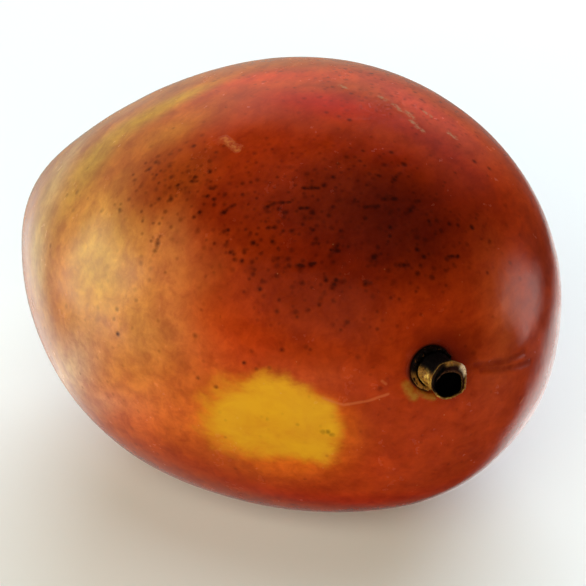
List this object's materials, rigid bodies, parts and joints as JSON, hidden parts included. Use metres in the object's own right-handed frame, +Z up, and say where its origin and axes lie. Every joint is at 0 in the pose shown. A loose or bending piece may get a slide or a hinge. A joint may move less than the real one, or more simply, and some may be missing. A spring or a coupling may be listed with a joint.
{
  "type": "mango",
  "caption": "Whole ripe mango lying on its broad side, egg-shaped and slightly flattened, with a short cut stalk stub in a shallow pit.",
  "frame": {"origin": "middle of the small flat spot that the fruit rests on", "axes": "+Z up; +X along the fruit's length towards the stalk end; -Y towards the side where the stalk sits"},
  "size_m": [0.118, 0.0965, 0.0843],
  "materials": {
    "skin": "waxy satin fruit skin, deep red to orange with a golden patch and small dark dots",
    "stalk": "golden-brown woody stub with a pale rim and a dark hollow cut end",
    "dried_collar": "dark dried scalloped ring, matt"
  },
  "bodies": {
    "root": {"fruit": "skin", "stem": "stalk", "stem_collar": "dried_collar"}
  },
  "joints": []
}
